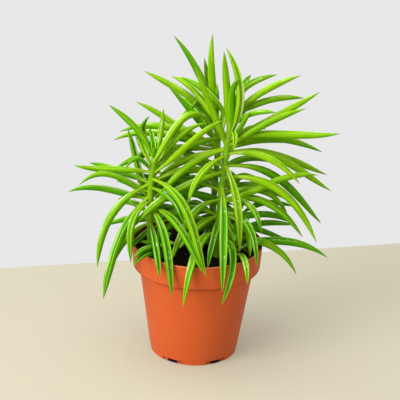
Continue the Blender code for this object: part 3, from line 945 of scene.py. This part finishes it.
def softened(corners, steps=4):
    """The (radius, height, rounding) corners as (radius, height) points, with a curve at each rounded one."""
    points = []
    count = len(corners)
    for index, (radius, height, rounding) in enumerate(corners):
        corner = np.array((radius, height))
        if rounding == 0 or index in (0, count - 1):
            points.append((radius, height))
            continue
        before = np.array(corners[index - 1][:2]) - corner
        after = np.array(corners[index + 1][:2]) - corner
        start = corner + before * min(0.5, rounding / np.linalg.norm(before))
        end = corner + after * min(0.5, rounding / np.linalg.norm(after))
        for t in np.linspace(0, 1, steps):
            points.append(tuple((1 - t) ** 2 * start + 2 * t * (1 - t) * corner + t * t * end))
    return points


def add_block(name, size, middle, turn):
    """A block with its edges bevelled, turned about the axis, for a Boolean."""
    deselect()
    bpy.ops.mesh.primitive_cube_add(size=1)
    block = bpy.context.object
    block.name = name
    block.data.transform(Matrix.Diagonal((*(part * MM for part in size), 1)))
    block.data.transform(Matrix.Rotation(turn, 4, "Z") @ Matrix.Translation(Vector(middle) * MM))
    start_edit()
    bpy.ops.mesh.bevel(offset=CUT_BEVEL * MM, segments=2, affect="EDGES")
    face_out()
    bpy.ops.object.mode_set(mode="OBJECT")
    return block


def cut_away(obj, blocks):
    """Cuts the blocks from the piece, all at once, and removes them."""
    join_into(blocks[0], blocks[1:])
    choose(obj)
    modifier = obj.modifiers.new("cut", "BOOLEAN")
    modifier.operation = "DIFFERENCE"
    modifier.solver = "EXACT"
    modifier.object = blocks[0]
    bpy.ops.object.modifier_apply(modifier=modifier.name)
    bpy.data.objects.remove(blocks[0], do_unlink=True)


def join_into(obj, others):
    choose(obj, *others)
    if others:
        bpy.ops.object.join()
    return obj


def points_of(mesh):
    points = np.empty(len(mesh.vertices) * 3)
    mesh.vertices.foreach_get("co", points)
    return points.reshape(-1, 3)


def set_points(mesh, points):
    mesh.vertices.foreach_set("co", np.asarray(points, float).ravel())
    mesh.update()


def copy_of(master, name):
    """A copy of a modelled piece, with its own mesh."""
    obj = master.copy()
    obj.data = master.data.copy()
    obj.name = name
    bpy.context.scene.collection.objects.link(obj)
    return obj


def write_marks(mesh, name, values):
    """Stores four shares for each point, which the finish reads."""
    marks = mesh.color_attributes.get(name) or mesh.color_attributes.new(name, "FLOAT_COLOR", "POINT")
    marks.data.foreach_set("color", np.clip(values, 0, 1).astype(np.float32).ravel())


def write_place(mesh, name, points):
    place = mesh.attributes.get(name) or mesh.attributes.new(name, "FLOAT_VECTOR", "POINT")
    place.data.foreach_set("vector", np.asarray(points, np.float32).ravel())


def paint_over(obj, material):
    obj.data.materials.clear()
    obj.data.materials.append(material)


def settle_in(obj, slot, *nodes):
    """Gives a finished piece its place in the model."""
    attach(obj, BODY)
    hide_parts(*nodes)


# Pot


def pot_profile(edge):
    band_foot = POT_HEIGHT - RIM_BAND
    foot_radius = BASE_RADIUS - FOOT_INSET
    return softened((
        (AXIS_RADIUS, 0, 0),
        (CHANNEL_INNER, 0, FOOT_ROUNDING),
        (CHANNEL_INNER, CHANNEL_DEPTH, FOOT_ROUNDING),
        (CHANNEL_OUTER, CHANNEL_DEPTH, FOOT_ROUNDING),
        (CHANNEL_OUTER, 0, FOOT_ROUNDING),
        (foot_radius, 0, edge),
        (foot_radius, FOOT_STEP - FOOT_INSET, FOOT_ROUNDING / 2),
        (BASE_RADIUS + FOOT_INSET, FOOT_STEP, FOOT_ROUNDING),
        (wall_radius(band_foot - CREASE_BELOW) + WALL / 2, band_foot - CREASE_BELOW, 0),
        (BODY_RADIUS, band_foot, 0.4),
        (BAND_FOOT_RADIUS, band_foot, edge),
        (wall_radius(band_foot + CREASE_ABOVE) + WALL / 2, band_foot + CREASE_ABOVE, 0),
        (RIM_RADIUS, POT_HEIGHT, edge),
        (RIM_RADIUS - WALL, POT_HEIGHT, edge),
        (BAND_FOOT_RADIUS - WALL, band_foot + WALL, LEDGE_ROUNDING),
        (BODY_RADIUS - WALL, band_foot + WALL, LEDGE_ROUNDING),
        (BASE_RADIUS - WALL, FLOOR, FLOOR_ROUNDING),
        (AXIS_RADIUS, FLOOR, 0),
    ))


def drain_cuts():
    """What the drains take from the foot, as (name, turn, inner and outer radius, width, height) in mm.

    Each block reaches past what it cuts. The recess is cut in two halves, each turned to its own side, so
    that it is as deep at its ends.
    """
    recess_width, recess_height, recess_depth = RECESS
    inner = BASE_RADIUS - FOOT_INSET - recess_depth
    half = (inner, BASE_RADIUS + 6, recess_width / 2 + 1, recess_height)
    turn = recess_width / 4 / BASE_RADIUS
    return (
        ("recess_left", -turn, *half),
        ("recess_right", turn, *half),
        ("notch", 0, CHANNEL_OUTER - 2, BASE_RADIUS + 4, NOTCH_WIDTH, NOTCH_HEIGHT),
        ("hole", 0, HOLE_INNER, CHANNEL_OUTER - 1, HOLE_WIDTH, FLOOR + 2),
    )


def mark_pot(mesh):
    """Marks the pot's inner side, how far down a point lies in it, its lip, and the strip under its band
    where a shadow is painted.
    """
    across, back, height = (points_of(mesh) / MM).T
    middles = np.array([wall_radius(level) for level in height])
    # The inner wall, which is painted darker further down, as shade and damp
    inside = (np.hypot(across, back) < middles) & (height > FLOOR - 0.2)
    depth = ease(POT_HEIGHT, SOIL_TOP, height)
    # The rim's top edge, where a highlight is painted
    lip = ease(POT_HEIGHT - 0.6, POT_HEIGHT - 0.1, height)
    # The strip under the rim band, where a shadow is painted
    above = height - (POT_HEIGHT - RIM_BAND)
    band_shadow = np.where(above > 0, ease(CREASE_ABOVE, 0.2, above), ease(CREASE_BELOW, 1.2, -above))
    write_marks(mesh, "pot_marks", np.stack((inside * 1.0, depth, lip, band_shadow * (1 - inside)), -1))


class PEPEROMIA_OT_pot(bpy.types.Operator):
    """Makes the thin-walled pot with its rim band, foot and drains"""

    bl_idname = "peperomia.make_pot"
    bl_label = "Make pot"

    def execute(self, context):
        settings = context.scene.peperomia.pot
        pot = turned("nursery_pot", pot_profile(settings.edge / MM), settings.sides)
        end_edit(pot, POT_SMOOTH)
        drains = [math.radians(FIRST_DRAIN + drain * 360 / DRAINS) for drain in range(DRAINS)]
        for name, turn, inner, outer, width, high in drain_cuts():
            size = (outer - inner, width, high + 2)
            middle = ((inner + outer) / 2, 0, high / 2 - 1)
            cut_away(pot, [add_block(name, size, middle, drain + turn) for drain in drains])
        bpy.ops.object.shade_smooth_by_angle(angle=math.radians(POT_SMOOTH))
        mark_pot(pot.data)
        paint_over(pot, terracotta_plastic(settings))
        settle_in(pot, "terracotta_plastic", "pot")
        return {"FINISHED"}


# Potting mix


def mix_height(x, y, lumps):
    """How high the mix's top lies, in metres, at this place."""
    radius = math.hypot(x, y) / MM
    top = SOIL_TOP + SOIL_CROWN * (1 - (radius / RIM_RADIUS) ** 2)
    place = Vector((x, y, 0)) / (9 * MM)
    rough = 0.75 * noise.noise(place) + 0.35 * noise.noise(place * 2.7) + 0.2 * noise.noise(place * 6.1)
    return top * MM + lumps * min(rough, 0.5) - lumps * 0.5


def mix_profile():
    top_radius = wall_radius(SOIL_TOP) - WALL / 2 - SOIL_GAP
    band_foot = POT_HEIGHT - RIM_BAND
    sides = [
        (AXIS_RADIUS, FLOOR + SOIL_GAP),
        (BASE_RADIUS - WALL - FLOOR_ROUNDING - SOIL_GAP, FLOOR + SOIL_GAP),
        (BASE_RADIUS - WALL - SOIL_GAP, FLOOR + FLOOR_ROUNDING),
        (BODY_RADIUS - WALL - SOIL_GAP, band_foot + WALL - LEDGE_ROUNDING),
        (BODY_RADIUS - WALL + LEDGE_ROUNDING - SOIL_GAP, band_foot + WALL + SOIL_GAP),
        (BAND_FOOT_RADIUS - WALL - SOIL_GAP, band_foot + WALL + SOIL_GAP),
        (top_radius, SOIL_TOP - 2.5),
    ]
    rings = np.linspace(top_radius, AXIS_RADIUS * 0.4, SOIL_RINGS)
    return sides + [(radius, SOIL_TOP) for radius in rings]


# A kind of crumb: how it is squashed, the seed of its lumps, its least and greatest size in mm, and how
# much of it is bark and how much pale mineral
Crumb = namedtuple("Crumb", "name squash seed sizes bark pale")
CRUMBS = (
    Crumb("crumb", (1, 0.85, 0.7), 3, (1.0, 2.6), 0.35, 0),
    Crumb("chip", (1.7, 0.8, 0.35), 8, (1.4, 3.4), 1, 0),
    Crumb("grain", (1, 0.95, 0.85), 5, (0.8, 1.9), 0, 1),
)
CRUMBS_PER_CHIP = 5
CRUMB_LUMPS = 0.12
CRUMB_RISE = 0.12


def crumb_masters():
    """A lumpy crumb, a flat chip of bark and a rounder mineral grain, each about 1 mm across."""
    deselect()
    masters = []
    for kind in CRUMBS:
        bpy.ops.mesh.primitive_uv_sphere_add(segments=8, ring_count=5, radius=0.5 * MM)
        obj = bpy.context.object
        obj.name = kind.name
        start_edit()
        bpy.ops.transform.resize(value=kind.squash)
        bpy.ops.transform.vertex_random(offset=CRUMB_LUMPS * MM, seed=kind.seed)
        face_out()
        bpy.ops.object.mode_set(mode="OBJECT")
        masters.append(obj)
        deselect()
    return masters


def scatter(masters, settings):
    """Copies of the crumbs over the mix's top, half sunk in it."""
    draws = random.Random(DRAW_SEED)
    counts = (settings.crumbs, settings.crumbs // CRUMBS_PER_CHIP, settings.grains)
    reach = (wall_radius(SOIL_TOP) - WALL / 2 - 2.5) * MM
    copies = []
    for kind, master, count in zip(CRUMBS, masters, counts):
        for _ in range(count):
            radius = reach * math.sqrt(draws.random())
            heading = draws.uniform(0, 2 * math.pi)
            x, y = radius * math.cos(heading), radius * math.sin(heading)
            size = draws.uniform(*kind.sizes)
            turn = Quaternion([draws.gauss(0, 1) for _ in range(4)]).normalized()
            middle = Vector((x, y, mix_height(x, y, settings.lumps) + CRUMB_RISE * size * MM))
            place = Matrix.Translation(middle) @ turn.to_matrix().to_4x4() @ Matrix.Scale(size, 4)
            copy = copy_of(master, f"{kind.name}_{len(copies)}")
            copy.data.transform(place)
            marks = (kind.bark * draws.uniform(0.2, 1), kind.pale, 0, 1)
            write_marks(copy.data, "crumb", np.tile(marks, (len(copy.data.vertices), 1)))
            copies.append(copy)
    return copies


class PEPEROMIA_OT_mix(bpy.types.Operator):
    """Makes the potting mix, with its lumpy top and the crumbs and pale grains on it"""

    bl_idname = "peperomia.make_mix"
    bl_label = "Make potting mix"

    def execute(self, context):
        settings = context.scene.peperomia.mix
        mix = turned("potting_mix_top", mix_profile(), settings.sides)
        end_edit(mix, SOIL_SMOOTH)
        points = points_of(mix.data)
        top = points[:, 2] > SOIL_TOP * MM - NEAR
        edge = np.hypot(points[:, 0], points[:, 1]) > (wall_radius(SOIL_TOP) - WALL / 2 - EDGE_BREADTH) * MM
        for index in np.flatnonzero(top):
            x, y, _ = points[index]
            points[index][2] = mix_height(x, y, settings.lumps) - (EDGE_DIP * MM if edge[index] else 0)
        set_points(mix.data, points)
        write_marks(mix.data, "crumb", np.tile((0, 0, 0, 1), (len(points), 1)))
        masters = crumb_masters()
        join_into(mix, scatter(masters, settings))
        for master in masters:
            bpy.data.objects.remove(master, do_unlink=True)
        paint_over(mix, mix_finish(settings))
        settle_in(mix, "potting_mix", "potting_mix")
        return {"FINISHED"}


# Leafy stems

# Half of a leaf's cross-section, from the bottom of its groove over a lip and round to its keel, as
# how far across and how far up, in half-breadths
LEAF_SECTION = (
    (0.0, 0.24), (0.24, 0.28), (0.44, 0.42), (0.58, 0.62), (0.72, 0.72), (0.87, 0.62),
    (0.98, 0.34), (0.98, -0.02), (0.86, -0.38), (0.6, -0.66), (0.29, -0.8), (0.0, -0.84),
)
LIP_ACROSS = 0.7

# A leaf's own form: how full it is and how full its groove, how far its foot is swollen and over what
# length, how much its tip is drawn in, and how far its lips stand open
FULLNESS = 1.04
GROOVE_FILL = 0.42
FOOT_SWELL = 0.5
FOOT_LENGTH = 2.4
TIP_TAPER = 0.06
OPENING = (0.82, 1.05)

# How fresh a leaf is: at the lowest nodes, how much more at the highest, and how far it differs by chance
FRESHNESS = 0.28
FRESHER_BY = 0.38
FRESH_CHANCE = 0.38
NODE_HEIGHTS = (96, 165)

# A stem's bud leaves, as heading and lift in degrees and length
BUDS = ((20, 70, 13), (140, 62, 15), (255, 74, 11))
BUD_TURN = 40

# A stalk's rings, its swelling at each node, and the steps of its domed end as rise and growth
STALK_SIDES = 16
STALK_STEP = 1.6
STALK_BETWEEN = 0.93
NODE_SWELL = 0.16
NODE_REACH = 1.9
NODE_PALE = 1.2
DOME = ((0.5, 0.85), (0.45, 0.7), (0.25, 0.4))
OLD_WOOD = 45


def leaf_master(stations):
    """A straight leaf of unit length along +Y and half-breadth 1, its section extruded station by station."""
    sides = 2 * (len(LEAF_SECTION) - 1)
    obj = start_ring("leaf", sides, 1, 0, (math.pi / 2, 0, 0))
    ring = [vert.co.copy() for vert in bmesh.from_edit_mesh(obj.data).verts]
    for co in ring:
        angle = math.atan2(co.x, co.z)
        across, up = LEAF_SECTION[round(abs(angle) * sides / (2 * math.pi))]
        pick(obj, lambda point: (point - co).length < 1e-4)
        bpy.ops.transform.translate(value=(math.copysign(across, angle) - co.x, 0, up - co.z))
    bpy.ops.mesh.select_all(action="SELECT")
    along = (1 - np.cos(np.linspace(0, math.pi, stations))) / 2
    size = np.maximum(swell(along), 0.01)
    bpy.ops.transform.resize(value=(size[0], 1, size[0]), center_override=(0, 0, 0))
    for station in range(1, stations):
        extrude((0, along[station] - along[station - 1], 0))
        grow_by = size[station] / size[station - 1]
        bpy.ops.transform.resize(value=(grow_by, 1, grow_by), center_override=(0, along[station], 0))
    bpy.ops.mesh.merge(type="CENTER")
    pick(obj, lambda point: abs(point.y) < NEAR)
    bpy.ops.mesh.edge_face_add()
    end_edit(obj, LEAF_SMOOTH)
    return obj


class LeafForm:
    """The master leaf's points, told by where they lie along it and on its section."""

    def __init__(self, master):
        points = points_of(master.data)
        self.u = np.clip(points[:, 1], 0, 1)
        size = np.maximum(swell(self.u), 0.01)
        self.across = points[:, 0] / size
        self.up = points[:, 2] / size
        inside = (self.up > 0.1) & (abs(self.across) < 0.8)
        self.groove = np.where(inside, 1 - ease(0.15, 0.55, abs(self.across)), 0)
        self.hollow = np.where(inside, 1 - ease(0.3, LIP_ACROSS, abs(self.across)), 0)
        self.lip = np.where(self.up > 0.5, 1 - ease(0.02, 0.16, abs(abs(self.across) - LIP_ACROSS)), 0)


def directions(leaf, u):
    """The ways over to a leaf's upper side and to its right, at each u along it."""
    slopes = np.stack((-3 * (1 - u) ** 2, 3 * (1 - u) * (1 - 3 * u), 3 * u * (2 - 3 * u), 3 * u * u), -1)
    forward = slopes @ leaf.bend
    forward /= np.linalg.norm(forward, axis=1)[:, None]
    over = np.cross(leaf.side, forward)
    over /= np.linalg.norm(over, axis=1)[:, None]
    return over, np.cross(forward, over)


def lay_leaf(obj, leaf, form, settings, draws):
    """Bends a straight copy of the leaf along its midline, with its own twist and wave, and marks it."""
    u = form.u
    length = np.linalg.norm(leaf.bend[3] - leaf.bend[0])
    over, right = directions(leaf, u)
    phase = draws.uniform(0, 2 * math.pi)
    open_share = draws.uniform(*OPENING)
    waved = 1 - settings.wave * (0.5 + 0.5 * np.sin(11 * u + phase))
    half = FULLNESS * leaf.breadth / 2 * swell(u) * waved
    half *= (1 + FOOT_SWELL * np.exp(-(u * length / FOOT_LENGTH) ** 2)) * (1 - TIP_TAPER * ease(0.8, 1, u))
    fill = GROOVE_FILL * (1 - ease(0.03, 0.2, u) * (1 - ease(0.9, 1, u)))
    closing = 1 - 0.3 * (1 - open_share) * ease(0.2, 0.9, form.up)
    wander = settings.wave * np.sin(7 * u + 2 * phase) * form.hollow
    across = (form.across * closing + wander) * half
    up = (form.up + fill * form.hollow) * half
    twist = settings.twist * draws.uniform(-1, 1) * u ** 2
    turned_across = across * np.cos(twist) - up * np.sin(twist)
    turned_up = across * np.sin(twist) + up * np.cos(twist)
    points = weights(u) @ leaf.bend + right * turned_across[:, None] + over * turned_up[:, None]
    set_points(obj.data, np.clip(points * MM, *CAD_BOX))
    write_place(obj.data, "leaf_place", np.stack((across, u * length + 500 * draws.random(), up), -1) / 10)
    fresh = FRESHNESS + FRESHER_BY * ease(*NODE_HEIGHTS, leaf.bend[0][2])
    tint = np.full(len(u), fresh + draws.uniform(-FRESH_CHANCE, FRESH_CHANCE))
    write_marks(obj.data, "leaf_marks", np.stack((form.groove, u, tint, form.lip * ease(0.05, 0.3, u)), -1))


def bud_leaves(index, stem):
    """The small folded leaves that stand at a stem's tip."""
    bend = np.array(stem.bend, float)
    leaves = []
    for heading, lift, length in BUDS:
        heading, lift = math.radians(heading + BUD_TURN * index), math.radians(lift)
        flat = math.cos(lift)
        reach = np.array((flat * math.cos(heading), flat * math.sin(heading), math.sin(lift)))
        leaves.append(Leaf(index, bend[3] - (0, 0, 2), reach * length, (-1.2, 0.4, 0), False))
    return leaves


def at_nodes(levels, heights, reach):
    """1 at a node's height, fading over this reach."""
    return np.exp(-((levels[:, None] - np.array(heights)[None]) / reach) ** 2).max(1)


def make_stalk(stem, heights):
    """A stem: a ring extruded along its curve, thinner to its tip and swollen at each node, its end domed."""
    bend = np.array(stem.bend, float)
    line = weights(np.linspace(0, 1, 80)) @ bend
    levels = np.arange(bend[0][2], bend[3][2], STALK_STEP)
    radius = stem.radius * (1 - STEM_TAPER * (levels - levels[0]) / (levels[-1] - levels[0]))
    radius = radius * (STALK_BETWEEN + NODE_SWELL * at_nodes(levels, heights, NODE_REACH))
    middles = np.stack([np.interp(levels, line[:, 2], line[:, axis]) for axis in range(3)], -1)
    obj = start_ring(stem.name + "_stalk", STALK_SIDES, radius[0] * MM, 0)
    bpy.ops.transform.translate(value=tuple(middles[0] * MM))
    for near in range(len(levels) - 1):
        extrude((middles[near + 1] - middles[near]) * MM)
        grow_by = radius[near + 1] / radius[near]
        bpy.ops.transform.resize(value=(grow_by, grow_by, 1), center_override=tuple(middles[near + 1] * MM))
    for rise, grow_by in DOME:
        extrude((0, 0, rise * MM))
        bpy.ops.transform.resize(value=(grow_by, grow_by, 1))
    bpy.ops.mesh.merge(type="CENTER")
    foot = middles[0][2] * MM
    pick(obj, lambda co: abs(co.z - foot) < NEAR)
    bpy.ops.mesh.edge_face_add()
    end_edit(obj, LEAF_SMOOTH)
    height = points_of(obj.data)[:, 2] / MM
    node = at_nodes(height, heights, NODE_PALE)
    age = 1 - ease(SOIL_TOP, SOIL_TOP + OLD_WOOD, height)
    write_marks(obj.data, "leaf_marks", np.stack((node, age, 0 * node, 0 * node), -1))
    write_place(obj.data, "leaf_place", points_of(obj.data) / MM / 10)
    return obj


class PEPEROMIA_OT_stems(bpy.types.Operator):
    """Makes every leafy stem: its stalk, and a copy of the folded leaf bent along each leaf's midline"""

    bl_idname = "peperomia.make_stems"
    bl_label = "Make leafy stems"

    def execute(self, context):
        settings = context.scene.peperomia.leaf
        draws = random.Random(DRAW_SEED)
        stalk_paint = stalk_finish(settings)
        paints = {
            "leaf_green": leaf_finish("waxy_leaf", settings, 0.0),
            "young_leaf_green": leaf_finish("waxy_young_leaf", settings, 0.12),
        }
        master = leaf_master(settings.stations)
        form = LeafForm(master)
        leaves = grow()
        for index, stem in enumerate(STEMS):
            own = [leaf for leaf in leaves if leaf.stem == index]
            stalk = make_stalk(stem, [leaf.bend[0][2] for leaf in own])
            paint_over(stalk, stalk_paint)
            copies = []
            for leaf in own + bud_leaves(index, stem):
                copy = copy_of(master, "leaf_copy")
                lay_leaf(copy, leaf, form, settings, draws)
                paint_over(copy, paints[stem.slot])
                copies.append(copy)
            piece = join_into(stalk, copies)
            piece.name = "grown_" + stem.name
            settle_in(piece, stem.slot, stem.name)
        bpy.data.objects.remove(master, do_unlink=True)
        return {"FINISHED"}


# Stage

# The camera: its place and what it is aimed at, its roll in degrees and its lens
EYE = (0.0, -916.36, 494.95)
AIM = (0.72, 0.0, 129.8)
ROLL = 2.32
LENS = 111.7

# The table top, with two places that its far edge runs through
TABLE_EDGE = ((-184, 134), (204, 231))
TABLE_THICKNESS = 25
TABLE_REACH = 1500
TABLE_BEVEL = 1.5

# The lights, in metres: name of the setting of its power, breadth and place
LIGHTS = (
    ("key", 2.1, (-2.1, -1.75, 1.6)),
    ("top", 1.6, (-0.3, -0.1, 1.6)),
    ("fill", 1.2, (0.6, -1.4, 0.7)),
)
LIGHT_AIM = (0, 0, 0.12)


def make_table(settings):
    """The table top: a slab whose far edge runs behind the pot, its edges bevelled."""
    left, right = (Vector((*corner, 0)) for corner in TABLE_EDGE)
    turn = math.atan2(right.y - left.y, right.x - left.x)
    deselect()
    bpy.ops.mesh.primitive_plane_add(size=1)
    table = bpy.context.object
    table.name = "table_top"
    middle = (left + right) / 2 + Matrix.Rotation(turn, 3, "Z") @ Vector((0, -TABLE_REACH / 2, 0))
    place = Matrix.Translation(middle * MM) @ Matrix.Rotation(turn, 4, "Z")
    table.data.transform(place @ Matrix.Diagonal((2 * TABLE_REACH * MM, TABLE_REACH * MM, 1, 1)))
    start_edit()
    extrude((0, 0, -TABLE_THICKNESS * MM))
    face_out()
    pick(table, lambda co: co.z > -NEAR)
    bpy.ops.mesh.bevel(offset=TABLE_BEVEL * MM, segments=3, affect="EDGES")
    end_edit(table, TABLE_SMOOTH)
    table.data.materials.append(table_finish(settings))


def add_light(name, power, size, place):
    data = bpy.data.lights.new(name, "AREA")
    data.energy = power
    data.shape = "DISK"
    data.size = size
    light = bpy.data.objects.new(name, data)
    light.location = place
    light.rotation_euler = (Vector(LIGHT_AIM) - Vector(place)).to_track_quat("-Z", "Y").to_euler()
    bpy.context.scene.collection.objects.link(light)


def add_camera():
    data = bpy.data.cameras.new("camera")
    data.sensor_width = 36
    data.lens = LENS
    camera = bpy.data.objects.new("camera", data)
    eye, aim = Vector(EYE) * MM, Vector(AIM) * MM
    camera.location = eye
    level = (aim - eye).to_track_quat("-Z", "Y")
    camera.rotation_euler = (level @ Quaternion((0, 0, 1), math.radians(ROLL))).to_euler()
    bpy.context.scene.collection.objects.link(camera)
    bpy.context.scene.camera = camera


def add_wall_light(settings):
    """The pale wall all round: what the picture shows of it, and the softer light that it gives."""
    world = bpy.data.worlds.new("wall")
    world.use_nodes = True
    nodes, links = world.node_tree.nodes, world.node_tree.links
    seen = nodes["Background"]
    seen.inputs["Color"].default_value = (*settings.wall, 1)
    given = nodes.new("ShaderNodeBackground")
    given.inputs["Color"].default_value = (*settings.wall, 1)
    given.inputs["Strength"].default_value = settings.glow
    path = nodes.new("ShaderNodeLightPath")
    either = nodes.new("ShaderNodeMixShader")
    links.new(path.outputs["Is Camera Ray"], either.inputs["Fac"])
    links.new(given.outputs["Background"], either.inputs[1])
    links.new(seen.outputs["Background"], either.inputs[2])
    links.new(either.outputs["Shader"], nodes["World Output"].inputs["Surface"])
    bpy.context.scene.world = world


class PEPEROMIA_OT_stage(bpy.types.Operator):
    """Makes the table top, the pale surroundings, the lights and the camera"""

    bl_idname = "peperomia.make_stage"
    bl_label = "Make stage"

    def execute(self, context):
        settings = context.scene.peperomia.stage
        make_table(settings)
        add_wall_light(settings)
        for name, size, place in LIGHTS:
            add_light(name, getattr(settings, name), size, place)
        add_camera()
        context.scene.view_settings.view_transform = "Standard"
        return {"FINISHED"}


class VIEW3D_PT_peperomia(bpy.types.Panel):
    """The makers of the pieces, each with its settings"""

    bl_label = "Potted peperomia"
    bl_idname = "VIEW3D_PT_peperomia"
    bl_space_type = "VIEW_3D"
    bl_region_type = "UI"
    bl_category = "Peperomia"

    def draw(self, context):
        settings = context.scene.peperomia
        for operator, group in zip(OPERATORS, (settings.pot, settings.mix, settings.leaf, settings.stage)):
            box = self.layout.box()
            box.operator(operator.bl_idname)
            for name in type(group).__annotations__:
                box.prop(group, name)


OPERATORS = (PEPEROMIA_OT_pot, PEPEROMIA_OT_mix, PEPEROMIA_OT_stems, PEPEROMIA_OT_stage)
SETTINGS = (PotSettings, MixSettings, LeafSettings, StageSettings, PeperomiaSettings)


def register():
    for kind in (*SETTINGS, *OPERATORS, VIEW3D_PT_peperomia):
        bpy.utils.register_class(kind)
    bpy.types.Scene.peperomia = PointerProperty(type=PeperomiaSettings)


def unregister():
    del bpy.types.Scene.peperomia
    for kind in reversed((*SETTINGS, *OPERATORS, VIEW3D_PT_peperomia)):
        bpy.utils.unregister_class(kind)


def main():
    register()
    bpy.ops.peperomia.make_pot()
    bpy.ops.peperomia.make_mix()
    bpy.ops.peperomia.make_stems()
    bpy.ops.peperomia.make_stage()


if __name__ == "__main__":
    main()
